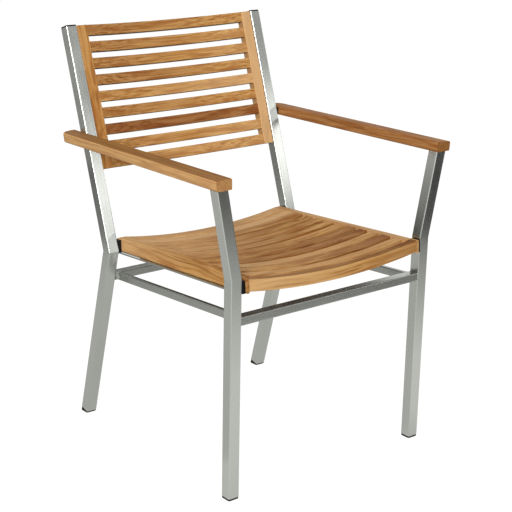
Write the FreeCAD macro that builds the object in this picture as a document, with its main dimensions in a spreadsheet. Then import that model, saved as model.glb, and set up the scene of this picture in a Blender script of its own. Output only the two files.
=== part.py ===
"""Stainless steel and teak carver chair, as a parametric assembly of separate pieces.

The origin is on the floor under the middle of the chair. X runs across the chair,
-Y is its front and +Z is up. Lengths are millimetres and angles are degrees.
The right-hand pieces (+X) are drawn, and the left-hand ones are their mirror images.
"""

import math
import os

import FreeCAD
import Part
import Sketcher
from FreeCAD import Placement, Rotation, Vector

SIZES = {
    # Square tube of the legs and posts
    "tube_width": 25.0,
    "tube_wall": 1.5,
    "tube_corner": 2.5,
    "leg_centre_x": 242.5,
    # Front leg and arm post: one flat frame that leans forward
    "front_foot_y": -277.6,
    "front_lean_angle": 1.45,
    "front_kink_run": 454.0,
    "arm_post_inset": 1.0,
    # Rear leg and back post: a bend at seat height
    "rear_kink_y": 144.9,
    "rear_kink_height": 406.4,
    "rear_lean_angle": 16.45,
    "back_recline_angle": 17.4,
    "back_post_length": 479.5,
    # Plugs in the open tube ends
    "plug_clearance": 0.15,
    "plug_length": 18.0,
    "front_foot_height": 4.0,
    "rear_foot_height": 7.0,
    "cap_thickness": 3.0,
    "cap_edge": 1.0,
    # Stretcher ring below the seat, which rises towards the front
    "ring_front_y": -298.3,
    "ring_drop": 91.7,
    "ring_slope_angle": 3.0,
    "cross_rail_depth": 25.0,
    "rail_height": 17.0,
    "rail_corner": 2.0,
    "side_rail_width": 10.0,
    "side_rail_setback": 5.0,
    # Seat frame, whose top plane also rises towards the front
    "seat_front_y": -305.3,
    "seat_front_height": 453.0,
    "seat_slope_angle": 2.8,
    "seat_rail_width": 20.0,
    "seat_rail_height": 27.0,
    "seat_rail_edge": 1.5,
    "seat_front_rail_depth": 18.0,
    "seat_front_rail_height": 24.0,
    "seat_front_rail_let_in": 13.5,
    "seat_back_rail_width": 32.2,
    "seat_dish": 16.5,
    "seat_slat_width": 25.0,
    "seat_slat_gap": 10.9,
    "seat_slat_thickness": 16.0,
    # Flat bearers under the seat and pads between seat and legs
    "bearer_thickness": 3.0,
    "bearer_front": 20.0,
    "bearer_overrun": 11.8,
    "pad_thickness": 7.0,
    "pad_depth": 24.0,
    "pad_height": 25.0,
    "front_pad_setback": 0.2,
    "rear_pad_setback": 4.0,
    # Mortise and tenon joints
    "tenon_length": 12.0,
    "tenon_thickness": 8.0,
    "tenon_width": 15.0,
    "tenon_clearance": 0.2,
    # Back panel between the posts
    "panel_clearance": 0.5,
    "panel_setback": 2.0,
    "panel_bottom": 173.8,
    "stile_width": 25.0,
    "stile_depth": 20.0,
    "stile_edge": 1.2,
    "back_slat_height": 22.6,
    "back_slat_gap": 12.9,
    "back_slat_thickness": 16.0,
    "back_slat_setback": 1.0,
    "back_bow": 18.0,
    # Tabs on the back posts that carry the panel
    "tab_reach": 18.0,
    "tab_height": 24.0,
    "tab_thickness": 3.0,
    "tab_inset": 62.0,
    # Armrests
    "arm_front_y": -311.3,
    "arm_overhang": 30.8,
    "arm_bottom": 633.0,
    "arm_width": 36.0,
    "arm_inner_height": 21.5,
    "arm_outer_height": 19.3,
    "arm_outer_rake": 2.0,
    "arm_rear_corner": 20.0,
    "arm_edge": 2.0,
    "arm_under_edge": 1.5,
    "arm_spacer_thickness": 5.0,
    "arm_spacer_width": 20.0,
    "arm_spacer_height": 15.0,
    # Plates let into the arms over the front posts
    "plate_thickness": 3.0,
    "plate_width": 24.0,
    "plate_length": 76.0,
    "plate_clearance": 0.2,
    "plate_setback": 1.0,
    "plate_screw_margin": 12.0,
    # Screws, and pins between the back posts and the arms
    "screw_radius": 2.0,
    "screw_head_radius": 4.0,
    "screw_head_height": 2.4,
    "screw_bite": 7.0,
    "screw_clearance": 0.15,
    "seat_screw_margin": 60.0,
    "pin_radius": 3.0,
    "pin_bite": 15.0,
    "pin_clearance": 0.15,
}

SEAT_SLATS = 11
BACK_SLATS = 7
BACK_MEMBERS = BACK_SLATS + 2
SEAT_SCREWS_A_SIDE = 2
CUT_MARGIN = 2.0
TOLERANCE = 1e-4
HEX_SIDES = 6
RIGHT_ANGLE = 90.0
FORWARD = Vector(1, 0, 0)
BACKWARD = Vector(-1, 0, 0)
ACROSS = Vector(0, 1, 0)

doc = FreeCAD.newDocument("carver_chair")
sheet = doc.addObject("Spreadsheet::Sheet", "Sizes")
nodes = {}


class Size:
    """A dimension kept both as a number and as the sheet expression that gives it."""

    def __init__(self, value, text):
        self.value = float(value)
        self.text = text

    def __add__(self, other):
        other = as_size(other)
        return Size(self.value + other.value, f"({self.text} + {other.text})")

    def __sub__(self, other):
        other = as_size(other)
        return Size(self.value - other.value, f"({self.text} - {other.text})")

    def __mul__(self, other):
        other = as_size(other)
        return Size(self.value * other.value, f"({self.text} * {other.text})")

    def __truediv__(self, other):
        other = as_size(other)
        return Size(self.value / other.value, f"({self.text} / {other.text})")

    def __neg__(self):
        return Size(-self.value, f"(0 - {self.text})")


def as_size(number):
    """Wrap a plain number, and pass a Size through."""
    if isinstance(number, Size):
        return number
    return Size(number, repr(float(number)))


def sine(angle):
    return Size(math.sin(math.radians(angle.value)), f"sin({angle.text})")


def cosine(angle):
    return Size(math.cos(math.radians(angle.value)), f"cos({angle.text})")


def tangent(angle):
    return Size(math.tan(math.radians(angle.value)), f"tan({angle.text})")


def angle_of(slope):
    """Angle whose tangent is the given slope."""
    return Size(math.degrees(math.atan(slope.value)), f"atan({slope.text})")


def fill_sheet():
    """Write the driving dimensions to the sheet and return them by name."""
    sizes = {}
    for row, (name, value) in enumerate(SIZES.items(), start=1):
        sheet.set(f"A{row}", name)
        sheet.set(f"B{row}", str(value))
        sheet.setAlias(f"B{row}", name)
        sizes[name] = Size(value, f"Sizes.{name}")
    doc.recompute()
    return sizes


class Frame:
    """A working plane of the chair: a point at mid-width and a lean about the X axis."""

    def __init__(self, y, z, axis=FORWARD, lean=0.0):
        self.y = as_size(y)
        self.z = as_size(z)
        self.axis = axis
        self.lean = as_size(lean)
        self.side = 1.0 if axis.x > 0 else -1.0

    def point(self, x, along_y, along_z):
        """Chair coordinates of a point given in this frame."""
        along_y = as_size(along_y)
        along_z = as_size(along_z)
        rise = sine(self.lean) * self.side
        run = cosine(self.lean)
        y = self.y + along_y * run - along_z * rise
        z = self.z + along_y * rise + along_z * run
        return as_size(x), y, z


def place(obj, frame, x=0.0, along_y=0.0, along_z=0.0):
    """Put an object's origin at a point of a frame, leaning as the frame leans."""
    turn(obj, frame.point(x, along_y, along_z), frame.axis, frame.lean)


def turn(obj, point, axis, angle):
    """Put an object at a point, turned about one axis."""
    position = Vector(*[part.value for part in point])
    obj.Placement = Placement(position, Rotation(axis, angle.value))
    for letter, part in zip("xyz", point):
        obj.setExpression(f"Placement.Base.{letter}", part.text)
    if angle.value:
        obj.setExpression("Placement.Rotation.Angle", angle.text)


def new_body(label):
    body = doc.addObject("PartDesign::Body", label)
    body.Label = label
    return body


def origin_feature(body, role):
    return next(item for item in body.Origin.OriginFeatures if item.Role == role)


def new_sketch(body, name, plane, offset=None):
    """Sketch on an origin plane of its body, moved along the plane's normal by offset."""
    sketch = body.newObject("Sketcher::SketchObject", f"{body.Name}_{name}")
    sketch.AttachmentSupport = (origin_feature(body, plane), [""])
    sketch.MapMode = "FlatFace"
    if offset is not None:
        normal_sign = -1.0 if plane == "XZ_Plane" else 1.0
        sketch.setExpression("AttachmentOffset.Base.z", (offset * normal_sign).text)
    return sketch


def fix(sketch, geometry, corner, point):
    """Hold one end of a line or arc at a dimensioned point."""
    for kind, part, other_axis in zip(("DistanceX", "DistanceY"), point, (-2, -1)):
        part = as_size(part)
        if part.value == 0.0:
            sketch.addConstraint(Sketcher.Constraint("PointOnObject", geometry, corner, other_axis))
            continue
        row = sketch.addConstraint(Sketcher.Constraint(kind, -1, 1, geometry, corner, part.value))
        sketch.setExpression(f"Constraints[{row}]", part.text)


def vector_of(point):
    return Vector(as_size(point[0]).value, as_size(point[1]).value, 0)


def draw_polygon(sketch, points):
    """Closed outline of straight lines through dimensioned corners."""
    count = len(points)
    first = sketch.GeometryCount
    for index in range(count):
        start = vector_of(points[index])
        end = vector_of(points[(index + 1) % count])
        sketch.addGeometry(Part.LineSegment(start, end))
    for index in range(count):
        after = (index + 1) % count
        sketch.addConstraint(Sketcher.Constraint("Coincident", first + index, 2, first + after, 1))
        fix(sketch, first + index, 1, points[index])


def draw_box(sketch, low, high):
    """Rectangle between two opposite corners."""
    draw_polygon(sketch, [low, (high[0], low[1]), high, (low[0], high[1])])


def draw_circle(sketch, centre, radius):
    """Circle with a dimensioned centre and radius."""
    row = sketch.addGeometry(Part.Circle(vector_of(centre), Vector(0, 0, 1), radius.value))
    fix(sketch, row, 3, centre)
    constraint = sketch.addConstraint(Sketcher.Constraint("Radius", row, radius.value))
    sketch.setExpression(f"Constraints[{constraint}]", radius.text)


def draw_bow(sketch, half_span, low, thickness, bow):
    """Outline of a bowed slat: two equal arcs, with square ends at plus and minus half_span."""
    sag = bow if bow.value > 0 else -bow
    radius = (half_span * half_span + sag * sag) / (sag * 2)
    sweep = math.asin(half_span.value / radius.value)
    upward = bow.value > 0
    middle = math.pi / 2 if upward else -math.pi / 2
    right, left = (1, 2) if upward else (2, 1)
    arcs = []
    for level in (low, low + thickness):
        drop = radius - sag
        centre_y = level.value - drop.value if upward else level.value + drop.value
        circle = Part.Circle(Vector(0, centre_y, 0), Vector(0, 0, 1), radius.value)
        arc = sketch.addGeometry(Part.ArcOfCircle(circle, middle - sweep, middle + sweep))
        fix(sketch, arc, right, (half_span, level))
        fix(sketch, arc, left, (-half_span, level))
        row = sketch.addConstraint(Sketcher.Constraint("Radius", arc, radius.value))
        sketch.setExpression(f"Constraints[{row}]", radius.text)
        arcs.append(arc)
    for corner, sign in ((right, 1.0), (left, -1.0)):
        x = half_span.value * sign
        start = Vector(x, low.value, 0)
        end = Vector(x, low.value + thickness.value, 0)
        line = sketch.addGeometry(Part.LineSegment(start, end))
        sketch.addConstraint(Sketcher.Constraint("Coincident", line, 1, arcs[0], corner))
        sketch.addConstraint(Sketcher.Constraint("Coincident", line, 2, arcs[1], corner))


def pad(body, sketch, length):
    """Add material evenly to both sides of a sketch."""
    feature = body.newObject("PartDesign::Pad", f"{sketch.Name}_pad")
    feature.Profile = sketch
    feature.SideType = "Symmetric"
    feature.setExpression("Length", length.text)
    doc.recompute()
    return feature


def cut(body, sketch, length):
    """Remove material evenly from both sides of a sketch."""
    before = body.Shape.Volume
    feature = body.newObject("PartDesign::Pocket", f"{sketch.Name}_cut")
    feature.Profile = sketch
    feature.SideType = "Symmetric"
    feature.setExpression("Length", length.text)
    doc.recompute()
    if feature.Shape.Volume >= before:
        raise RuntimeError(f"{feature.Name} removed nothing")
    return feature


def repeat(body, feature, axis_role, pitch, count):
    """Repeat a cut along one of the body's axes."""
    pattern = body.newObject("PartDesign::LinearPattern", f"{feature.Name}_row")
    pattern.Originals = [feature]
    pattern.Direction = (origin_feature(body, axis_role), [""])
    pattern.setExpression("Length", (pitch * (count - 1)).text)
    pattern.Occurrences = count
    body.Tip = pattern
    doc.recompute()
    return pattern


def edges_in(feature, wanted):
    """Names of a feature's edges whose bounding box is the wanted one."""
    names = []
    for index, edge in enumerate(feature.Shape.Edges, start=1):
        if wanted(edge.BoundBox):
            names.append(f"Edge{index}")
    return names


def edges_along(feature, direction):
    """Names of a feature's straight edges that run along a direction."""
    names = []
    for index, edge in enumerate(feature.Shape.Edges, start=1):
        if edge.Curve.TypeId != "Part::GeomLine":
            continue
        step = edge.Vertexes[-1].Point.sub(edge.Vertexes[0].Point)
        if step.cross(direction).Length < TOLERANCE:
            names.append(f"Edge{index}")
    return names


def round_edges(body, feature, names, radius):
    """Round the named edges of a feature."""
    fillet = body.newObject("PartDesign::Fillet", f"{feature.Name}_round")
    fillet.Base = (feature, names)
    fillet.setExpression("Radius", radius.text)
    doc.recompute()
    return fillet


def ease_edges(body, feature, names, width):
    """Take a small flat off the named edges of a feature."""
    chamfer = body.newObject("PartDesign::Chamfer", f"{feature.Name}_ease")
    chamfer.Base = (feature, names)
    chamfer.setExpression("Size", width.text)
    doc.recompute()
    return chamfer


def mirror(right):
    """Left-hand twin of a right-hand piece."""
    label = right.Label.replace("right", "left")
    twin = doc.addObject("Part::Mirroring", label)
    twin.Label = label
    twin.Source = right
    twin.Normal = Vector(1, 0, 0)
    return twin


def keep(*pieces):
    """Register finished pieces under their labels."""
    for piece in pieces:
        nodes[piece.Label] = piece


def keep_pair(right):
    keep(right, mirror(right))


def group(label, pieces):
    """One node that holds several separate like solids."""
    compound = doc.addObject("Part::Compound", label)
    compound.Label = label
    compound.Links = pieces
    keep(compound)


def bar(label, frame, across, along_y, along_z):
    """Straight rectangular bar between three pairs of limits in a frame."""
    body = new_body(label)
    sketch = new_sketch(body, "side", "YZ_Plane", (across[0] + across[1]) / 2)
    draw_box(sketch, (along_y[0], along_z[0]), (along_y[1], along_z[1]))
    pad(body, sketch, across[1] - across[0])
    place(body, frame)
    return body


def hollow(body, plane, low, high, width, offset=None):
    """Cut a straight bore through a tube."""
    sketch = new_sketch(body, "bore", plane, offset)
    draw_box(sketch, low, high)
    cut(body, sketch, width)


def drill(body, plane, offset, spots, radius, depth):
    """Round holes of one radius that go in from a plane by a depth."""
    sketch = new_sketch(body, "holes", plane, offset)
    for spot in spots:
        draw_circle(sketch, spot, radius)
    cut(body, sketch, depth * 2)


size = fill_sheet()
tube = size["tube_width"]
wall = size["tube_wall"]
half_tube = tube / 2
half_bore = half_tube - wall
bore = half_bore * 2
leg_x = size["leg_centre_x"]
leg_inner_x = leg_x - half_tube
leg_outer_x = leg_x + half_tube

front_lean = size["front_lean_angle"]
rear_lean = size["rear_lean_angle"]
back_recline = size["back_recline_angle"]
ring_slope = size["ring_slope_angle"]
seat_slope = size["seat_slope_angle"]
screw_hole = size["screw_radius"] + size["screw_clearance"]
pin_hole = size["pin_radius"] + size["pin_clearance"]

rear_run = size["rear_kink_height"] / cosine(rear_lean)
rear_foot_y = size["rear_kink_y"] + size["rear_kink_height"] * tangent(rear_lean)
rear_mitre = tangent((rear_lean + back_recline) / 2)

arm_inner_x = leg_outer_x + size["arm_spacer_thickness"]
arm_centre_x = arm_inner_x + size["arm_width"] / 2
front_kink_height = size["front_kink_run"] * cosine(front_lean)
arm_post_offset = arm_centre_x - size["arm_post_inset"] - leg_x
arm_post_rise = (size["arm_bottom"] - front_kink_height) / cosine(front_lean)
arm_post_slope = arm_post_offset / arm_post_rise
arm_post_splay = angle_of(arm_post_slope)
front_mitre = tangent(arm_post_splay / 2)

ring_bottom = size["seat_front_height"] - size["ring_drop"]

front_frame = Frame(size["front_foot_y"], 0.0, FORWARD, front_lean)
rear_leg_frame = Frame(rear_foot_y, 0.0, FORWARD, rear_lean)
back_frame = Frame(size["rear_kink_y"], size["rear_kink_height"], BACKWARD, back_recline)
ring_frame = Frame(size["ring_front_y"], ring_bottom, BACKWARD, ring_slope)
seat_frame = Frame(size["seat_front_y"], size["seat_front_height"], BACKWARD, seat_slope)
arm_frame = Frame(size["arm_front_y"], size["arm_bottom"])

# Where the pin in the back post holds the arm, which runs on past it
arm_half_height = size["arm_outer_height"] / 2
pin_rise = size["arm_bottom"] + arm_half_height - size["rear_kink_height"]
pin_y = size["rear_kink_y"] + pin_rise * tangent(back_recline) - size["arm_front_y"]
arm_length = pin_y + size["arm_overhang"]


def build_rear_leg():
    """Raked lower leg, cut square at the foot and mitred at the bend."""
    body = new_body("rear_leg_right")
    profile = new_sketch(body, "profile", "YZ_Plane")
    foot = size["rear_foot_height"]
    corners = [
        (-half_tube, foot),
        (half_tube, foot),
        (half_tube, rear_run - half_tube * rear_mitre),
        (-half_tube, rear_run + half_tube * rear_mitre),
    ]
    draw_polygon(profile, corners)
    solid = pad(body, profile, tube)
    round_edges(body, solid, edges_along(solid, Vector(0, 0, 1)), size["tube_corner"])
    hollow(body, "YZ_Plane", (-half_bore, foot - CUT_MARGIN), (half_bore, rear_run + tube), bore)
    place(body, rear_leg_frame, leg_x)
    keep_pair(body)


def build_back_post():
    """Reclined post, mitred on the rear leg."""
    body = new_body("back_post_right")
    profile = new_sketch(body, "profile", "YZ_Plane")
    top = size["back_post_length"]
    corners = [
        (-half_tube, -half_tube * rear_mitre),
        (half_tube, half_tube * rear_mitre),
        (half_tube, top),
        (-half_tube, top),
    ]
    draw_polygon(profile, corners)
    solid = pad(body, profile, tube)
    round_edges(body, solid, edges_along(solid, Vector(0, 0, 1)), size["tube_corner"])
    hollow(body, "YZ_Plane", (-half_bore, -tube), (half_bore, top + CUT_MARGIN), bore)
    place(body, back_frame, leg_x)
    keep_pair(body)


def build_front_leg():
    """Front leg, square at the foot and mitred where the arm post splays off."""
    body = new_body("front_leg_right")
    profile = new_sketch(body, "profile", "XZ_Plane")
    foot = size["front_foot_height"]
    kink = size["front_kink_run"]
    corners = [
        (leg_inner_x, foot),
        (leg_outer_x, foot),
        (leg_outer_x, kink - half_tube * front_mitre),
        (leg_inner_x, kink + half_tube * front_mitre),
    ]
    draw_polygon(profile, corners)
    solid = pad(body, profile, tube)
    round_edges(body, solid, edges_along(solid, Vector(0, 0, 1)), size["tube_corner"])
    low = (leg_x - half_bore, foot - CUT_MARGIN)
    hollow(body, "XZ_Plane", low, (leg_x + half_bore, kink + tube), bore)
    place(body, front_frame)
    keep_pair(body)


def arm_post_outline(half_width, top):
    """Side lines of the splayed post between its mitre and a level top."""
    outer_start = size["front_kink_run"] - half_width * front_mitre
    inner_start = size["front_kink_run"] + half_width * front_mitre
    outer_x = leg_x + half_width
    inner_x = leg_x - half_width
    return [
        (inner_x, inner_start),
        (outer_x, outer_start),
        (outer_x + (top - outer_start) * arm_post_slope, top),
        (inner_x + (top - inner_start) * arm_post_slope, top),
    ]


def build_arm_post():
    """Splayed post between the front leg and the arm plate, trimmed level at its top."""
    body = new_body("arm_post_right")
    profile = new_sketch(body, "profile", "XZ_Plane")
    level = size["arm_bottom"] / cosine(front_lean)
    top = level + CUT_MARGIN
    draw_polygon(profile, arm_post_outline(half_tube, top))
    solid = pad(body, profile, tube)
    splay = math.radians(arm_post_splay.value)
    post_line = Vector(math.sin(splay), 0, math.cos(splay))
    round_edges(body, solid, edges_along(solid, post_line), size["tube_corner"])
    passage = new_sketch(body, "bore", "XZ_Plane")
    draw_polygon(passage, arm_post_outline(half_bore, top))
    cut(body, passage, bore)
    trim = new_sketch(body, "level_top", "YZ_Plane", leg_x + arm_post_offset)
    fall = tube * tangent(front_lean)
    corners = [
        (-tube, level + fall),
        (tube, level - fall),
        (tube, top + CUT_MARGIN),
        (-tube, top + CUT_MARGIN),
    ]
    draw_polygon(trim, corners)
    cut(body, trim, tube * 2)
    place(body, front_frame)
    keep_pair(body)


def build_foot(label, frame, height):
    """Plug glide: a wedge under the tube that stands flat on the floor, and a stem."""
    body = new_body(label)
    profile = new_sketch(body, "wedge", "YZ_Plane")
    fall = half_tube * tangent(frame.lean)
    draw_polygon(profile, [(-half_tube, fall), (half_tube, -fall), (half_tube, height), (-half_tube, height)])
    solid = pad(body, profile, tube)
    ease_edges(body, solid, edges_along(solid, Vector(0, 0, 1)), size["tube_corner"])
    stem = new_sketch(body, "stem", "YZ_Plane")
    half_stem = half_bore - size["plug_clearance"]
    draw_box(stem, (-half_stem, height), (half_stem, height + size["plug_length"]))
    pad(body, stem, half_stem * 2)
    place(body, frame, leg_x)
    keep_pair(body)


def build_post_cap():
    """Plug with an eased head in the top of the back post."""
    body = new_body("post_cap_right")
    base = size["back_post_length"]
    top = base + size["cap_thickness"]
    profile = new_sketch(body, "head", "YZ_Plane")
    draw_box(profile, (-half_tube, base), (half_tube, top))
    solid = pad(body, profile, tube)
    head = ease_edges(body, solid, edges_along(solid, Vector(0, 0, 1)), size["tube_corner"])
    rim = edges_in(head, lambda box: box.ZMin > top.value - TOLERANCE)
    ease_edges(body, head, rim, size["cap_edge"])
    stem = new_sketch(body, "stem", "YZ_Plane")
    half_stem = half_bore - size["plug_clearance"]
    draw_box(stem, (-half_stem, base - size["plug_length"]), (half_stem, base))
    pad(body, stem, half_stem * 2)
    place(body, back_frame, leg_x)
    keep_pair(body)


def build_rail(label, across, along_y, long_axis):
    """Rectangular tube of the stretcher ring, open at its welded ends."""
    height = size["rail_height"]
    body = bar(label, ring_frame, across, along_y, (as_size(0.0), height))
    round_edges(body, body.Tip, edges_along(body.Tip, long_axis), size["rail_corner"])
    middle = (across[0] + across[1]) / 2
    if long_axis.x:
        low = (along_y[0] + wall, wall)
        high = (along_y[1] - wall, height - wall)
        hollow(body, "YZ_Plane", low, high, across[1] - across[0], middle)
    else:
        low = (along_y[0] - CUT_MARGIN, wall)
        high = (along_y[1] + CUT_MARGIN, height - wall)
        hollow(body, "YZ_Plane", low, high, across[1] - across[0] - wall * 2, middle)
    return body


def build_stretchers():
    """Front and rear cross rails between the legs, and side rails between those."""
    depth = size["cross_rail_depth"]
    lean = tangent(rear_lean)
    middle_height = size["rail_height"] / 2
    middle_z = ring_bottom + middle_height * cosine(ring_slope)
    leg_y = size["rear_kink_y"] + (size["rear_kink_height"] - middle_z) * lean
    reach = leg_y - size["ring_front_y"] - middle_height * sine(ring_slope)
    rear_middle = reach / (cosine(ring_slope) - sine(ring_slope) * lean)
    rear_front = rear_middle - depth / 2
    whole = (-leg_inner_x, leg_inner_x)
    keep(build_rail("front_rail", whole, (as_size(0.0), depth), Vector(1, 0, 0)))
    keep(build_rail("rear_rail", whole, (rear_front, rear_front + depth), Vector(1, 0, 0)))
    outer = leg_inner_x - size["side_rail_setback"]
    side = (outer - size["side_rail_width"], outer)
    keep_pair(build_rail("side_rail_right", side, (depth, rear_front), Vector(0, 1, 0)))


seat_rail_outer = leg_inner_x - size["pad_thickness"]
seat_rail_inner = seat_rail_outer - size["seat_rail_width"]
seat_rail_middle = seat_rail_outer - size["seat_rail_width"] / 2
seat_pitch = size["seat_slat_width"] + size["seat_slat_gap"]
first_slat_y = size["seat_front_rail_depth"] + size["seat_slat_gap"] + size["seat_slat_width"] / 2
seat_back_start = first_slat_y + seat_pitch * SEAT_SLATS - size["seat_slat_width"] / 2
seat_depth = seat_back_start + size["seat_back_rail_width"]
bearer_low = -(size["seat_rail_height"] + size["bearer_thickness"])
bearer_end = size["rear_kink_y"] - size["seat_front_y"] + size["bearer_overrun"]
seat_screw_pitch = (seat_depth - size["seat_screw_margin"] * 2) / (SEAT_SCREWS_A_SIDE - 1)


def seat_screw_spots():
    """Places of one side's seat screws in the seat's plane."""
    distances = [size["seat_screw_margin"] + seat_screw_pitch * step for step in range(SEAT_SCREWS_A_SIDE)]
    return [(seat_rail_middle, distance) for distance in distances]


def build_bearer():
    """Flat bar under a seat side rail, welded to both legs and drilled for screws."""
    width = size["seat_rail_width"] + size["pad_thickness"]
    across = (leg_inner_x - width, leg_inner_x)
    along = (size["bearer_front"], bearer_end)
    body = bar("seat_bearer_right", seat_frame, across, along, (bearer_low, -size["seat_rail_height"]))
    drill(body, "XY_Plane", bearer_low, seat_screw_spots(), screw_hole, size["bearer_thickness"] + CUT_MARGIN)
    keep_pair(body)


def build_seat_pads():
    """Pads that fill the gap between the seat's side rails and the four legs."""
    across = (seat_rail_outer, leg_inner_x)
    bottom = -size["seat_rail_height"]
    up = (bottom, bottom + size["pad_height"])
    front_face = size["front_foot_y"] - half_tube - size["seat_front_height"] * tangent(front_lean)
    front_start = front_face - size["seat_front_y"] + size["front_pad_setback"]
    rear_face = size["rear_kink_y"] - half_tube / cosine(back_recline)
    rear_start = rear_face - size["seat_front_y"] + size["rear_pad_setback"]
    for label, start in (("seat_pad_front_right", front_start), ("seat_pad_rear_right", rear_start)):
        keep_pair(bar(label, seat_frame, across, (start, start + size["pad_depth"]), up))


def build_member(label, frame, spot, plane, half_span, low, thickness, bow, width, tenon=True):
    """Bowed slat or rail, tenoned at both ends."""
    body = new_body(label)
    outline = new_sketch(body, "bow", plane)
    draw_bow(outline, half_span, low, thickness, bow)
    pad(body, outline, width)
    if tenon:
        tongues = new_sketch(body, "tenons", plane)
        tongue_low = low + (thickness - size["tenon_thickness"]) / 2
        tongue_high = tongue_low + size["tenon_thickness"]
        tip = half_span + size["tenon_length"]
        draw_box(tongues, (half_span, tongue_low), (tip, tongue_high))
        draw_box(tongues, (-tip, tongue_low), (-half_span, tongue_high))
        pad(body, tongues, size["tenon_width"])
    place(body, frame, *spot)
    keep(body)


def build_seat_members():
    """Dished slats, the front rail let into the side rails, and the wider back rail."""
    dish = -size["seat_dish"]
    thickness = size["seat_slat_thickness"]
    for number in range(SEAT_SLATS):
        spot = (0.0, first_slat_y + seat_pitch * number, 0.0)
        build_member(f"seat_slat_{number + 1}", seat_frame, spot, "XZ_Plane", seat_rail_inner,
                     -thickness, thickness, dish, size["seat_slat_width"])
    back_width = size["seat_back_rail_width"]
    build_member("seat_back_rail", seat_frame, (0.0, seat_back_start + back_width / 2, 0.0), "XZ_Plane",
                 seat_rail_inner, -thickness, thickness, dish, back_width)
    front_span = seat_rail_inner + size["seat_front_rail_let_in"]
    front_height = size["seat_front_rail_height"]
    front_depth = size["seat_front_rail_depth"]
    build_member("seat_front_rail", seat_frame, (0.0, front_depth / 2, 0.0), "XZ_Plane",
                 front_span, -front_height, front_height, dish, front_depth, tenon=False)


def build_seat_side_rail():
    """Side rail with a row of mortises, a housing for the front rail and screw pilots."""
    up = (-size["seat_rail_height"], as_size(0.0))
    across = (seat_rail_inner, seat_rail_outer)
    body = bar("seat_side_rail_right", seat_frame, across, (as_size(0.0), seat_depth), up)
    solid = body.Tip
    outer_edges = edges_in(solid, lambda box: box.XMin > seat_rail_middle.value and box.YLength > tube.value)
    ease_edges(body, solid, outer_edges, size["seat_rail_edge"])
    clearance = size["tenon_clearance"]
    tongue_middle = -size["seat_slat_thickness"] / 2
    half_tongue = size["tenon_thickness"] / 2 + clearance
    mortise = new_sketch(body, "mortise", "XZ_Plane", first_slat_y)
    low = (seat_rail_inner - CUT_MARGIN, tongue_middle - half_tongue)
    high = (seat_rail_inner + size["tenon_length"] + clearance, tongue_middle + half_tongue)
    draw_box(mortise, low, high)
    socket = cut(body, mortise, size["tenon_width"] + clearance * 2)
    repeat(body, socket, "Y_Axis", seat_pitch, SEAT_SLATS)
    back_mortise = new_sketch(body, "back_mortise", "XZ_Plane", (seat_back_start + seat_depth) / 2)
    draw_box(back_mortise, low, high)
    cut(body, back_mortise, size["tenon_width"] + clearance * 2)
    housing = new_sketch(body, "housing", "XZ_Plane", as_size(0.0))
    below = -size["seat_rail_height"] - CUT_MARGIN
    end = seat_rail_inner + size["seat_front_rail_let_in"] + clearance
    draw_box(housing, (seat_rail_inner - CUT_MARGIN, below), (end, as_size(CUT_MARGIN)))
    cut(body, housing, (size["seat_front_rail_depth"] + clearance) * 2)
    pilot_depth = size["screw_bite"] + size["screw_clearance"]
    drill(body, "XY_Plane", -size["seat_rail_height"], seat_screw_spots(), screw_hole, pilot_depth)
    keep_pair(body)


panel_outer = leg_inner_x - size["panel_clearance"]
panel_inner = panel_outer - size["stile_width"]
panel_front = size["panel_setback"] - half_tube
panel_back = panel_front + size["stile_depth"]
back_pitch = size["back_slat_height"] + size["back_slat_gap"]
panel_height = back_pitch * (BACK_MEMBERS - 1) + size["back_slat_height"]
first_member = size["panel_bottom"] + size["back_slat_height"] / 2
back_slat_front = panel_front + size["back_slat_setback"]
tab_centre_x = leg_inner_x - size["tab_reach"] / 2


def tab_spots():
    """Places of one side's tabs and screws in the back's plane."""
    low = size["panel_bottom"] + size["tab_inset"]
    high = size["panel_bottom"] + panel_height - size["tab_inset"]
    return [(tab_centre_x, low), (tab_centre_x, high)]


def build_stile():
    """Upright of the back panel with a row of mortises and screw pilots in its back."""
    along_z = (size["panel_bottom"], size["panel_bottom"] + panel_height)
    across = (panel_inner, panel_outer)
    body = bar("back_stile_right", back_frame, across, (panel_front, panel_back), along_z)
    ease_edges(body, body.Tip, edges_along(body.Tip, Vector(0, 0, 1)), size["stile_edge"])
    clearance = size["tenon_clearance"]
    tongue_middle = back_slat_front + size["back_slat_thickness"] / 2
    half_tongue = size["tenon_thickness"] / 2 + clearance
    mortise = new_sketch(body, "mortise", "XY_Plane", first_member)
    low = (panel_inner - CUT_MARGIN, tongue_middle - half_tongue)
    high = (panel_inner + size["tenon_length"] + clearance, tongue_middle + half_tongue)
    draw_box(mortise, low, high)
    socket = cut(body, mortise, size["tenon_width"] + clearance * 2)
    repeat(body, socket, "Z_Axis", back_pitch, BACK_MEMBERS)
    pilot_depth = size["screw_bite"] + size["screw_clearance"]
    drill(body, "XZ_Plane", panel_back, tab_spots(), screw_hole, pilot_depth)
    keep_pair(body)


def build_back_members():
    """Bowed rails and slats of the back panel, from the bottom rail to the top rail."""
    for number in range(BACK_MEMBERS):
        label = f"back_slat_{number}"
        if number == 0:
            label = "back_bottom_rail"
        if number == BACK_MEMBERS - 1:
            label = "back_top_rail"
        spot = (0.0, 0.0, first_member + back_pitch * number)
        build_member(label, back_frame, spot, "XY_Plane", panel_inner, back_slat_front,
                     size["back_slat_thickness"], size["back_bow"], size["back_slat_height"])


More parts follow.
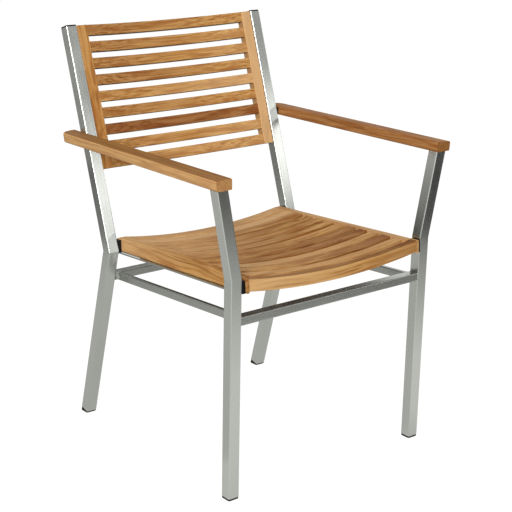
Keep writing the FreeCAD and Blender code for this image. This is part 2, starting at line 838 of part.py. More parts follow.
def build_tabs():
    """Drilled tabs on the inner faces of the back posts, behind the stiles."""
    across = (leg_inner_x - size["tab_reach"], leg_inner_x)
    along = (panel_back, panel_back + size["tab_thickness"])
    tabs = []
    half_height = size["tab_height"] / 2
    for number, spot in enumerate(tab_spots(), start=1):
        up = (spot[1] - half_height, spot[1] + half_height)
        body = bar(f"back_tab_right_{number}", back_frame, across, along, up)
        drill(body, "XZ_Plane", panel_back, [spot], screw_hole, size["tab_thickness"] + CUT_MARGIN)
        tabs += [body, mirror(body)]
    group("back_tabs", tabs)


plate_middle_y = (size["front_foot_y"] - size["arm_bottom"] * tangent(front_lean)
                  - size["arm_front_y"])
plate_middle_x = leg_x + arm_post_offset
plate_start = plate_middle_y - half_tube + size["plate_setback"]
plate_end = plate_start + size["plate_length"]
plate_screw_spot = (plate_middle_x, plate_end - size["plate_screw_margin"])
pin_spot = (pin_y, arm_half_height)


def build_arm_plate():
    """Plate on top of the arm post, flush with the underside of the arm."""
    half_width = size["plate_width"] / 2
    across = (plate_middle_x - half_width, plate_middle_x + half_width)
    thickness = size["plate_thickness"]
    body = bar("arm_plate_right", arm_frame, across, (plate_start, plate_end), (as_size(0.0), thickness))
    drill(body, "XY_Plane", as_size(0.0), [plate_screw_spot], screw_hole, thickness + CUT_MARGIN)
    keep_pair(body)


def build_arm():
    """Armrest with a top that falls outwards, a rounded rear corner and eased edges."""
    body = new_body("arm_right")
    outer_x = arm_inner_x + size["arm_width"]
    section = new_sketch(body, "section", "XZ_Plane", arm_length / 2)
    corners = [
        (arm_inner_x, as_size(0.0)),
        (outer_x - size["arm_outer_rake"], as_size(0.0)),
        (outer_x, size["arm_outer_height"]),
        (arm_inner_x, size["arm_inner_height"]),
    ]
    draw_polygon(section, corners)
    solid = pad(body, section, arm_length)
    rear = arm_length.value - TOLERANCE
    rear_corner = edges_in(solid, lambda box: box.YMin > rear and box.XMin > arm_centre_x.value)
    rounded = round_edges(body, solid, rear_corner, size["arm_rear_corner"])
    top_edges = edges_in(rounded, lambda box: box.ZMin > arm_half_height.value and box.YLength > tube.value)
    softened = ease_edges(body, rounded, top_edges, size["arm_edge"])
    under_edges = edges_in(softened, lambda box: box.ZMax < TOLERANCE and box.YLength > tube.value)
    ease_edges(body, softened, under_edges, size["arm_under_edge"])
    clearance = size["plate_clearance"]
    half_width = size["plate_width"] / 2 + clearance
    recess = new_sketch(body, "recess", "XY_Plane")
    low = (plate_middle_x - half_width, plate_start - clearance)
    high = (plate_middle_x + half_width, plate_end + clearance)
    draw_box(recess, low, high)
    cut(body, recess, size["plate_thickness"] * 2)
    pilot_depth = size["screw_bite"] + size["screw_clearance"]
    drill(body, "XY_Plane", size["plate_thickness"], [plate_screw_spot], screw_hole, pilot_depth)
    drill(body, "YZ_Plane", arm_inner_x, [pin_spot], pin_hole, size["pin_bite"] + size["pin_clearance"])
    place(body, arm_frame)
    keep_pair(body)


def build_arm_spacer():
    """Block between the back post and the arm, drilled for the pin."""
    half_width = size["arm_spacer_width"] / 2
    half_height = size["arm_spacer_height"] / 2
    across = (leg_outer_x, arm_inner_x)
    along = (pin_y - half_width, pin_y + half_width)
    up = (arm_half_height - half_height, arm_half_height + half_height)
    body = bar("arm_spacer_right", arm_frame, across, along, up)
    drill(body, "YZ_Plane", leg_outer_x, [pin_spot], pin_hole, size["arm_spacer_thickness"] + CUT_MARGIN)
    keep_pair(body)


def build_screw(label, point, axis, angle, grip):
    """Hexagon-headed screw: its head bears at a point, and its shank leaves along the axis."""
    leaving = Rotation(axis, angle.value).multVec(Vector(0, 0, 1))
    head_height = size["screw_head_height"]
    head = doc.addObject("Part::Prism", f"{label}_head")
    head.Polygon = HEX_SIDES
    head.setExpression("Circumradius", size["screw_head_radius"].text)
    head.setExpression("Height", head_height.text)
    turn(head, [part - head_height * step for part, step in zip(point, leaving)], axis, angle)
    shank = doc.addObject("Part::Cylinder", f"{label}_shank")
    shank.setExpression("Radius", size["screw_radius"].text)
    shank.setExpression("Height", (grip + size["screw_bite"]).text)
    turn(shank, point, axis, angle)
    screw = doc.addObject("Part::Fuse", label)
    screw.Base = head
    screw.Tool = shank
    return screw


def build_fasteners():
    """Screws up into the seat and the arms and from behind into the back, and the arm pins."""
    seat_screws = []
    for number, (x, distance) in enumerate(seat_screw_spots(), start=1):
        point = seat_frame.point(x, distance, bearer_low)
        label = f"seat_screw_right_{number}"
        screw = build_screw(label, point, BACKWARD, seat_slope, size["bearer_thickness"])
        seat_screws += [screw, mirror(screw)]
    group("seat_screws", seat_screws)

    back_screws = []
    forward = as_size(RIGHT_ANGLE) - back_recline
    for number, (x, height) in enumerate(tab_spots(), start=1):
        point = back_frame.point(x, panel_back + size["tab_thickness"], height)
        label = f"back_screw_right_{number}"
        screw = build_screw(label, point, FORWARD, forward, size["tab_thickness"])
        back_screws += [screw, mirror(screw)]
    group("back_screws", back_screws)

    point = arm_frame.point(*plate_screw_spot, 0.0)
    screw = build_screw("arm_screw_right", point, FORWARD, as_size(0.0), size["plate_thickness"])
    pin = doc.addObject("Part::Cylinder", "arm_pin_right")
    pin.setExpression("Radius", size["pin_radius"].text)
    pin.setExpression("Height", (size["arm_spacer_thickness"] + size["pin_bite"]).text)
    turn(pin, arm_frame.point(leg_outer_x, *pin_spot), ACROSS, as_size(RIGHT_ANGLE))
    group("arm_fasteners", [screw, mirror(screw), pin, mirror(pin)])


def check_and_write():
    """Stop on any failed object, then write each piece to its own file."""
    doc.recompute()
    for obj in doc.Objects:
        if "Invalid" in obj.State or "Error" in obj.State:
            raise RuntimeError(f"{obj.Label} failed: {obj.State}")
    for label, piece in nodes.items():
        if piece.Shape.isNull() or not piece.Shape.isValid():
            raise RuntimeError(f"{label} has no valid shape")
    os.makedirs("parts", exist_ok=True)
    for label, piece in nodes.items():
        piece.Shape.exportStep(f"parts/{label}.step")


build_rear_leg()
build_back_post()
build_front_leg()
build_arm_post()
build_foot("front_foot_right", front_frame, size["front_foot_height"])
build_foot("rear_foot_right", rear_leg_frame, size["rear_foot_height"])
build_post_cap()
build_stretchers()
build_bearer()
build_seat_pads()
build_seat_side_rail()
build_seat_members()
build_stile()
build_back_members()
build_tabs()
build_arm_plate()
build_arm()
build_arm_spacer()
build_fasteners()
check_and_write()
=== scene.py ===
"""Finishes, light and camera for a stainless steel and teak carver chair.

The pieces come from the chair's CAD model, in metres, with +Z up and -Y as the front.
Each teak member is a milled copy of its solid, with eased edges and a grain of its own.
Steel, plastic and fastener solids keep their meshes and get a finish.
"""

import logging
import math
import random
from dataclasses import dataclass, field
from enum import Enum
from typing import Any, ClassVar, Mapping, Optional, Sequence

import bmesh
import bpy
from mathutils import Matrix, Vector


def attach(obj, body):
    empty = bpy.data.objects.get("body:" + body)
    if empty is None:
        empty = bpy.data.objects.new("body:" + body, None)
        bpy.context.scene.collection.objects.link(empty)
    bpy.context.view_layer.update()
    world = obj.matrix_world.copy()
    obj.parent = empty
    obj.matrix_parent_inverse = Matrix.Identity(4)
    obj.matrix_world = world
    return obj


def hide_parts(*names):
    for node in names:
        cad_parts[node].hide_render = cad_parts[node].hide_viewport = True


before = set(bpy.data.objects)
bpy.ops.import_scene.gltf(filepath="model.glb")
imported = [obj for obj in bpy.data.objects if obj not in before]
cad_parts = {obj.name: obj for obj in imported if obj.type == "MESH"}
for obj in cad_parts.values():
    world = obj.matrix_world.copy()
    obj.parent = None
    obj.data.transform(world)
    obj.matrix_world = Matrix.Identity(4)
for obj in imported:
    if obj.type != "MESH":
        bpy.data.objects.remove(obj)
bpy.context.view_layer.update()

log = logging.getLogger("carver_chair")

MM = 0.001
BODY = "root"
PICTURE_PIXELS = 512
SENSOR_MM = 36.0
GRAIN_SEED = 11
DISC_SIDES = 64
FRONT_TO_BACK = (0.0, 1.0)

# Millimetres along a member from its middle, and the share of brown there
Tones = Sequence[tuple[float, float]]

# Names of the values that each teak mesh carries
GRAIN = "grain"
TONE = "tone"
TOP_TINT = "handled"
SLOT_SHADE = "slot_shade"
END_GRAIN_AND_SHADE = "end_grain_and_side_shade"


def to_linear(hex_colour: str) -> tuple[float, float, float, float]:
    """Turn an sRGB hex colour into linear RGBA.

    Args:
        hex_colour: Six hex digits after a hash sign.

    Returns:
        Linear red, green and blue, and an alpha of one.
    """
    digits = hex_colour.lstrip("#")
    channels = []
    for start in (0, 2, 4):
        value = int(digits[start:start + 2], 16) / 255.0
        linear = value / 12.92 if value <= 0.04045 else ((value + 0.055) / 1.055) ** 2.4
        channels.append(linear)
    return channels[0], channels[1], channels[2], 1.0


def per_metre(along_mm: float, across_mm: float) -> tuple[float, float, float]:
    """Turn a pattern's length and width in millimetres into scales per metre."""
    across = 1.0 / (across_mm * MM)
    return 1.0 / (along_mm * MM), across, across


def add_node(
    tree: bpy.types.NodeTree,
    kind: str,
    inputs: Optional[Mapping[Any, Any]] = None,
    stops: Optional[Sequence[tuple[float, str]]] = None,
    **settings: Any,
) -> bpy.types.Node:
    """Add one shader node with its settings and links.

    Args:
        tree: The node tree that gets the node.
        kind: The node's type.
        inputs: By socket name or number, a value to set or an output to link.
        stops: Positions and hex colours of a colour ramp.
        settings: Properties of the node itself.

    Returns:
        The new node.
    """
    node = tree.nodes.new(kind)
    for name, value in settings.items():
        setattr(node, name, value)
    for key, value in (inputs or {}).items():
        if isinstance(value, bpy.types.NodeSocket):
            tree.links.new(value, node.inputs[key])
        else:
            node.inputs[key].default_value = value
    if stops:
        elements = node.color_ramp.elements
        while len(elements) < len(stops):
            elements.new(1.0)
        for element, (position, hex_colour) in zip(elements, stops):
            element.position = position
            element.color = to_linear(hex_colour)
    return node


def new_material(name: str) -> tuple[bpy.types.Material, bpy.types.NodeTree]:
    """Make an empty node material.

    Args:
        name: The material's name.

    Returns:
        The material and its node tree.
    """
    material = bpy.data.materials.new(name)
    material.use_nodes = True
    material.node_tree.nodes.clear()
    return material, material.node_tree


def disc_mesh(name: str, radius: float) -> bpy.types.Mesh:
    """Make a flat round mesh.

    Args:
        name: The mesh's name.
        radius: Its radius in metres.

    Returns:
        The mesh.
    """
    work = bmesh.new()
    bmesh.ops.create_circle(work, cap_ends=True, segments=DISC_SIDES, radius=radius)
    mesh = bpy.data.meshes.new(name)
    work.to_mesh(mesh)
    work.free()
    return mesh


def dress(piece: bpy.types.Object, material: bpy.types.Material) -> None:
    """Give a piece one finish all over."""
    piece.data.materials.clear()
    piece.data.materials.append(material)


class Brush(Enum):
    """The way a tube was brushed, along its length."""

    FRONT_LEG = (0.0, -0.025, 1.0)
    ARM_POST_LEFT = (-0.191, -0.025, 0.981)
    ARM_POST_RIGHT = (0.191, -0.025, 0.981)
    REAR_LEG = (0.0, -0.284, 0.959)
    BACK_POST = (0.0, 0.299, 0.954)
    ACROSS = (1.0, 0.0, 0.0)
    FORE_AND_AFT = (0.0, 0.999, -0.051)

    @property
    def is_level(self) -> bool:
        """Tell whether pieces brushed this way lie level."""
        return self in (Brush.ACROSS, Brush.FORE_AND_AFT)


@dataclass(frozen=True)
class Teak:
    """Sanded and oiled teak.

    Honey brown with darker growth rings, fine streaks along the grain and broad patches
    of warmer or browner wood. The oil leaves a low, even sheen.
    """

    name: str = "teak_sanded_oiled"
    pale: str = "#E0B273"
    honey: str = "#CF9753"
    late_wood: str = "#9C6532"
    amber: str = "#AE6E35"
    brown: str = "#8F5B2C"
    red_tint: str = "#B2928C"
    sap: str = "#EEC28D"
    top_tint: str = "#AE9A78"
    slot_shade: str = "#5A371A"
    # A dark grey painted on faces that point down, as shade
    underside_shade: str = "#66625C"
    underside_shade_share: float = 0.85
    # Real rings are a few millimetres wide and real streaks under one, and both are
    # drawn coarser to show
    ring_mm: float = 9.0
    streak_mm: float = 2.2
    streak_run_mm: float = 300.0
    streak_share: float = 0.68
    patch_mm: float = 12.0
    patch_run_mm: float = 110.0
    patch_share: float = 0.75
    # The rings stray this far from straight, over this length and width
    wander_mm: float = 6.0
    wander_run_mm: float = 380.0
    wander_across_mm: float = 48.0
    ior: float = 1.5
    sheen: float = 0.05
    roughness: float = 0.52
    roughness_spread: float = 0.06
    bump_mm: float = 0.12
    bump_strength: float = 0.5

    # The noise's middle value, and how far it strays from there
    NOISE_MIDDLE: ClassVar[float] = 0.5
    NOISE_REACH: ClassVar[float] = 0.25
    # Where the noise turns to a patch
    PATCH_NOISE: ClassVar[tuple[float, float]] = (0.47, 0.68)
    # The ring wave turns by this many radians in each unit
    WAVE_RADIANS: ClassVar[float] = 20.0
    # How far a normal points up on tops, and down on undersides
    TOP_NORMAL: ClassVar[tuple[float, float]] = (0.75, 0.95)
    UNDER_NORMAL: ClassVar[tuple[float, float]] = (-0.5, -0.9)

    def material(self) -> bpy.types.Material:
        """Build the teak's node material.

        Returns:
            The material, ready for a piece.
        """
        material, tree = new_material(self.name)
        figure, streaks = self.figure(tree)
        colour = self.weather(tree, self.age(tree, figure))
        rough = add_node(tree, "ShaderNodeMapRange", {
            "Value": streaks, "To Min": self.roughness + self.roughness_spread,
            "To Max": self.roughness - self.roughness_spread,
        })
        bump = add_node(tree, "ShaderNodeBump", {
            "Strength": self.bump_strength, "Distance": self.bump_mm * MM, "Height": streaks,
        })
        shader = add_node(tree, "ShaderNodeBsdfPrincipled", {
            "Base Color": colour, "Roughness": rough.outputs[0], "IOR": self.ior,
            "Specular IOR Level": self.sheen, "Normal": bump.outputs[0],
        })
        add_node(tree, "ShaderNodeOutputMaterial", {"Surface": shader.outputs[0]})
        return material

    def figure(
        self, tree: bpy.types.NodeTree,
    ) -> tuple[bpy.types.NodeSocket, bpy.types.NodeSocket]:
        """Draw the rings, streaks and patches.

        Args:
            tree: The material's node tree.

        Returns:
            The colour of the figure, and the streaks alone.
        """
        grain = add_node(tree, "ShaderNodeAttribute", attribute_name=GRAIN)
        slow = add_node(tree, "ShaderNodeVectorMath", {
            0: grain.outputs["Vector"], 1: per_metre(self.wander_run_mm, self.wander_across_mm),
        }, operation="MULTIPLY")
        drift = add_node(tree, "ShaderNodeTexNoise", {
            "Vector": slow.outputs[0], "Scale": 1.0, "Detail": 2.0, "Roughness": 0.45,
        })
        centred = add_node(tree, "ShaderNodeVectorMath", {
            0: drift.outputs["Color"], 1: (self.NOISE_MIDDLE,) * 3,
        }, operation="SUBTRACT")
        spread = self.wander_mm * MM / self.NOISE_REACH
        moved = add_node(tree, "ShaderNodeVectorMath", {
            0: centred.outputs[0], 1: (spread,) * 3, 2: grain.outputs["Vector"],
        }, operation="MULTIPLY_ADD")

        # One turn of the ring wave is one year's growth
        rings = add_node(tree, "ShaderNodeTexWave", {
            "Vector": moved.outputs[0], "Distortion": 0.0,
            "Scale": math.tau / self.WAVE_RADIANS / (self.ring_mm * MM),
        }, wave_type="RINGS", rings_direction="X", wave_profile="SAW")
        drawn_out = add_node(tree, "ShaderNodeVectorMath", {
            0: moved.outputs[0], 1: per_metre(self.streak_run_mm, self.streak_mm),
        }, operation="MULTIPLY")
        streaks = add_node(tree, "ShaderNodeTexNoise", {
            "Vector": drawn_out.outputs[0], "Scale": 1.0, "Detail": 3.0, "Roughness": 0.6,
        })
        broad = add_node(tree, "ShaderNodeVectorMath", {
            0: grain.outputs["Vector"], 1: per_metre(self.patch_run_mm, self.patch_mm),
        }, operation="MULTIPLY")
        patches = add_node(tree, "ShaderNodeTexNoise", {
            "Vector": broad.outputs[0], "Scale": 1.0, "Detail": 2.0, "Roughness": 0.5,
        })

        ring_colour = add_node(tree, "ShaderNodeValToRGB", {0: rings.outputs["Fac"]}, stops=(
            (0.0, self.pale), (0.45, self.honey), (0.85, self.late_wood), (1.0, self.honey),
        ))
        streak_colour = add_node(tree, "ShaderNodeValToRGB", {0: streaks.outputs["Fac"]}, stops=(
            (0.40, self.late_wood), (0.48, self.honey), (0.575, self.pale),
        ))
        lined = add_node(tree, "ShaderNodeMix", {
            "Factor": self.streak_share, 6: ring_colour.outputs[0], 7: streak_colour.outputs[0],
        }, data_type="RGBA")
        start, end = self.PATCH_NOISE
        patch_mask = add_node(tree, "ShaderNodeMapRange", {
            "Value": patches.outputs["Fac"], "From Min": start, "From Max": end,
            "To Min": 0.0, "To Max": self.patch_share,
        }, interpolation_type="SMOOTHSTEP")
        patched = add_node(tree, "ShaderNodeMix", {
            "Factor": patch_mask.outputs[0], 6: lined.outputs[2], 7: to_linear(self.amber),
        }, data_type="RGBA")
        return patched.outputs[2], streaks.outputs["Fac"]

    def age(
        self, tree: bpy.types.NodeTree, colour: bpy.types.NodeSocket,
    ) -> bpy.types.NodeSocket:
        """Make the figure redder or paler by the member's tone.

        Args:
            tree: The material's node tree.
            colour: The colour of the figure.

        Returns:
            The colour of the member's wood.
        """
        tone = add_node(tree, "ShaderNodeAttribute", attribute_name=TONE)
        browned = add_node(tree, "ShaderNodeMix", {
            "Factor": tone.outputs["Fac"], 6: colour, 7: to_linear(self.red_tint),
        }, data_type="RGBA", blend_type="MULTIPLY")
        paler = add_node(tree, "ShaderNodeMath", {
            0: tone.outputs["Fac"], 1: -1.0,
        }, operation="MULTIPLY")
        toned = add_node(tree, "ShaderNodeMix", {
            "Factor": paler.outputs[0], 6: browned.outputs[2], 7: to_linear(self.sap),
        }, data_type="RGBA")
        return toned.outputs[2]

    def weather(
        self, tree: bpy.types.NodeTree, colour: bpy.types.NodeSocket,
    ) -> bpy.types.NodeSocket:
        """Tint upward faces darker, darken end grain, and paint shade on slot sides, stile inner
        sides and the underside.

        Args:
            tree: The material's node tree.
            colour: The colour of the member's wood.

        Returns:
            The colour of the finished surface.
        """
        handled, slot_shade, end = (
            add_node(tree, "ShaderNodeAttribute", attribute_name=name)
            for name in (TOP_TINT, SLOT_SHADE, END_GRAIN_AND_SHADE)
        )
        surface = add_node(tree, "ShaderNodeNewGeometry")
        upward = add_node(tree, "ShaderNodeSeparateXYZ", {0: surface.outputs["Normal"]})
        side, top = self.TOP_NORMAL
        top_mask = add_node(tree, "ShaderNodeMapRange", {
            "Value": upward.outputs["Z"], "From Min": side, "From Max": top,
            "To Min": 0.0, "To Max": 1.0,
        }, interpolation_type="SMOOTHSTEP")
        # Upward faces are tinted darker by the member's share
        top_tint_mask = add_node(tree, "ShaderNodeMath", {
            0: top_mask.outputs[0], 1: handled.outputs["Fac"],
        }, operation="MULTIPLY")
        oiled = add_node(tree, "ShaderNodeMix", {
            "Factor": top_tint_mask.outputs[0], 6: colour, 7: to_linear(self.top_tint),
        }, data_type="RGBA", blend_type="MULTIPLY")
        # Painted shade in the slots: faces that don't point up are mixed towards a dark brown by
        # the member's share
        slot_shade_mask = add_node(tree, "ShaderNodeMath", {
            0: slot_shade.outputs["Fac"], 1: top_mask.outputs[0],
        }, operation="SUBTRACT", use_clamp=True)
        slot_shaded = add_node(tree, "ShaderNodeMix", {
            "Factor": slot_shade_mask.outputs[0], 6: oiled.outputs[2], 7: to_linear(self.slot_shade),
        }, data_type="RGBA")
        # End grain drinks more oil and dries darker; on a stile's inner side between the slats the
        # same mix is painted shade
        end_and_shade_mixed = add_node(tree, "ShaderNodeMix", {
            "Factor": end.outputs["Fac"], 6: slot_shaded.outputs[2], 7: to_linear(self.brown),
        }, data_type="RGBA")
        # Painted shade: faces that point down are mixed towards a dark grey
        side, under = self.UNDER_NORMAL
        underside_shade_mask = add_node(tree, "ShaderNodeMapRange", {
            "Value": upward.outputs["Z"], "From Min": side, "From Max": under,
            "To Min": 0.0, "To Max": self.underside_shade_share,
        })
        underside_shaded = add_node(tree, "ShaderNodeMix", {
            "Factor": underside_shade_mask.outputs[0], 6: end_and_shade_mixed.outputs[2], 7: to_linear(self.underside_shade),
        }, data_type="RGBA")
        return underside_shaded.outputs[2]


@dataclass(frozen=True)
class SatinSteel:
    """Stainless steel tube with a satin finish, brushed along its length.

    A neutral grey metal. The brush lines smear reflections sideways into soft bands.
    Level pieces get a darker copy of the grey, which is painted shade.
    """

    brush: Brush
    name: str = "stainless_steel_satin"
    upright_colour: str = "#C4C6C1"
    # A darker copy of the same steel for level pieces, as painted shade
    level_shaded_colour: str = "#B2B4AF"
    roughness: float = 0.27
    roughness_spread: float = 0.05
    anisotropy: float = 0.88
    anisotropy_turn: float = 0.25
    # Brush lines are about a tenth of a millimetre, and are drawn coarser to show
    line_mm: float = 2.2
    line_run_mm: float = 240.0
    cloud_mm: float = 90.0
    bump_mm: float = 0.03
    bump_strength: float = 0.04

    # Where the brush lines and the clouds lie when added together
    MOTTLE_NOISE: ClassVar[tuple[float, float]] = (0.6, 1.4)

    def material(self) -> bpy.types.Material:
        """Build the steel's node material.

        Returns:
            The material, ready for a piece.
        """
        material, tree = new_material(f"{self.name}_{self.brush.name.lower()}")
        colour = self.level_shaded_colour if self.brush.is_level else self.upright_colour
        place = add_node(tree, "ShaderNodeTexCoord")
        along, across, _ = per_metre(self.line_run_mm, self.line_mm)
        length = add_node(tree, "ShaderNodeVectorMath", {
            0: place.outputs["Object"], 1: self.brush.value,
        }, operation="DOT_PRODUCT")
        squeeze = tuple(part * (along - across) for part in self.brush.value)
        shortened = add_node(tree, "ShaderNodeVectorMath", {
            0: length.outputs["Value"], 1: squeeze,
        }, operation="MULTIPLY")
        drawn = add_node(tree, "ShaderNodeVectorMath", {
            0: place.outputs["Object"], 1: (across,) * 3, 2: shortened.outputs[0],
        }, operation="MULTIPLY_ADD")
        lines = add_node(tree, "ShaderNodeTexNoise", {
            "Vector": drawn.outputs[0], "Scale": 1.0, "Detail": 2.0, "Roughness": 0.6,
        })
        clouds = add_node(tree, "ShaderNodeTexNoise", {
            "Vector": place.outputs["Object"], "Scale": 1.0 / (self.cloud_mm * MM), "Detail": 3.0,
        })
        both = add_node(tree, "ShaderNodeMath", {
            0: lines.outputs["Fac"], 1: clouds.outputs["Fac"],
        }, operation="ADD")
        start, end = self.MOTTLE_NOISE
        rough = add_node(tree, "ShaderNodeMapRange", {
            "Value": both.outputs[0], "From Min": start, "From Max": end,
            "To Min": self.roughness - self.roughness_spread,
            "To Max": self.roughness + self.roughness_spread,
        })
        bump = add_node(tree, "ShaderNodeBump", {
            "Strength": self.bump_strength, "Distance": self.bump_mm * MM,
            "Height": lines.outputs["Fac"],
        })
        tangent = add_node(tree, "ShaderNodeCombineXYZ", dict(enumerate(self.brush.value)))
        shader = add_node(tree, "ShaderNodeBsdfPrincipled", {
            "Base Color": to_linear(colour), "Metallic": 1.0, "Roughness": rough.outputs[0],
            "Anisotropic": self.anisotropy, "Anisotropic Rotation": self.anisotropy_turn,
            "Tangent": tangent.outputs[0], "Normal": bump.outputs[0],
        })
        add_node(tree, "ShaderNodeOutputMaterial", {"Surface": shader.outputs[0]})
        return material


@dataclass(frozen=True)
class MouldedPlastic:
    """Black polyamide, injection moulded with a fine spark-eroded texture.

    Near black, with a broad dull sheen on its edges.
    """

    name: str = "polyamide_moulded_black"
    colour: str = "#0C0C0D"
    ior: float = 1.53
    sheen: float = 0.15
    roughness: float = 0.6
    roughness_spread: float = 0.08
    # The texture's grit is about a tenth of a millimetre, and is drawn coarser to show
    grit_mm: float = 0.9
    bump_mm: float = 0.05
    bump_strength: float = 0.3

    def material(self) -> bpy.types.Material:
        """Build the plastic's node material.

        Returns:
            The material, ready for a piece.
        """
        material, tree = new_material(self.name)
        place = add_node(tree, "ShaderNodeTexCoord")
        grit = add_node(tree, "ShaderNodeTexNoise", {
            "Vector": place.outputs["Object"], "Scale": 1.0 / (self.grit_mm * MM), "Detail": 1.0,
        })
        rough = add_node(tree, "ShaderNodeMapRange", {
            "Value": grit.outputs["Fac"], "To Min": self.roughness - self.roughness_spread,
            "To Max": self.roughness + self.roughness_spread,
        })
        bump = add_node(tree, "ShaderNodeBump", {
            "Strength": self.bump_strength, "Distance": self.bump_mm * MM,
            "Height": grit.outputs["Fac"],
        })
        shader = add_node(tree, "ShaderNodeBsdfPrincipled", {
            "Base Color": to_linear(self.colour), "Roughness": rough.outputs[0],
            "IOR": self.ior, "Specular IOR Level": self.sheen, "Normal": bump.outputs[0],
        })
        add_node(tree, "ShaderNodeOutputMaterial", {"Surface": shader.outputs[0]})
        return material


@dataclass(frozen=True)
class ScrewSteel:
    """Stainless screws, cold headed and tumbled, a little brighter than the satin tube."""

    name: str = "stainless_steel_tumbled"
    colour: str = "#C6C6C2"
    roughness: float = 0.26
    roughness_spread: float = 0.06
    # The dents of tumbling are finer, and are drawn coarser to show
    dent_mm: float = 1.5

    def material(self) -> bpy.types.Material:
        """Build the screw steel's node material.

        Returns:
            The material, ready for a piece.
        """
        material, tree = new_material(self.name)
        place = add_node(tree, "ShaderNodeTexCoord")
        dents = add_node(tree, "ShaderNodeTexNoise", {
            "Vector": place.outputs["Object"], "Scale": 1.0 / (self.dent_mm * MM), "Detail": 1.0,
        })
        rough = add_node(tree, "ShaderNodeMapRange", {
            "Value": dents.outputs["Fac"], "To Min": self.roughness - self.roughness_spread,
            "To Max": self.roughness + self.roughness_spread,
        })
        shader = add_node(tree, "ShaderNodeBsdfPrincipled", {
            "Base Color": to_linear(self.colour), "Metallic": 1.0, "Roughness": rough.outputs[0],
        })
        add_node(tree, "ShaderNodeOutputMaterial", {"Surface": shader.outputs[0]})
        return material


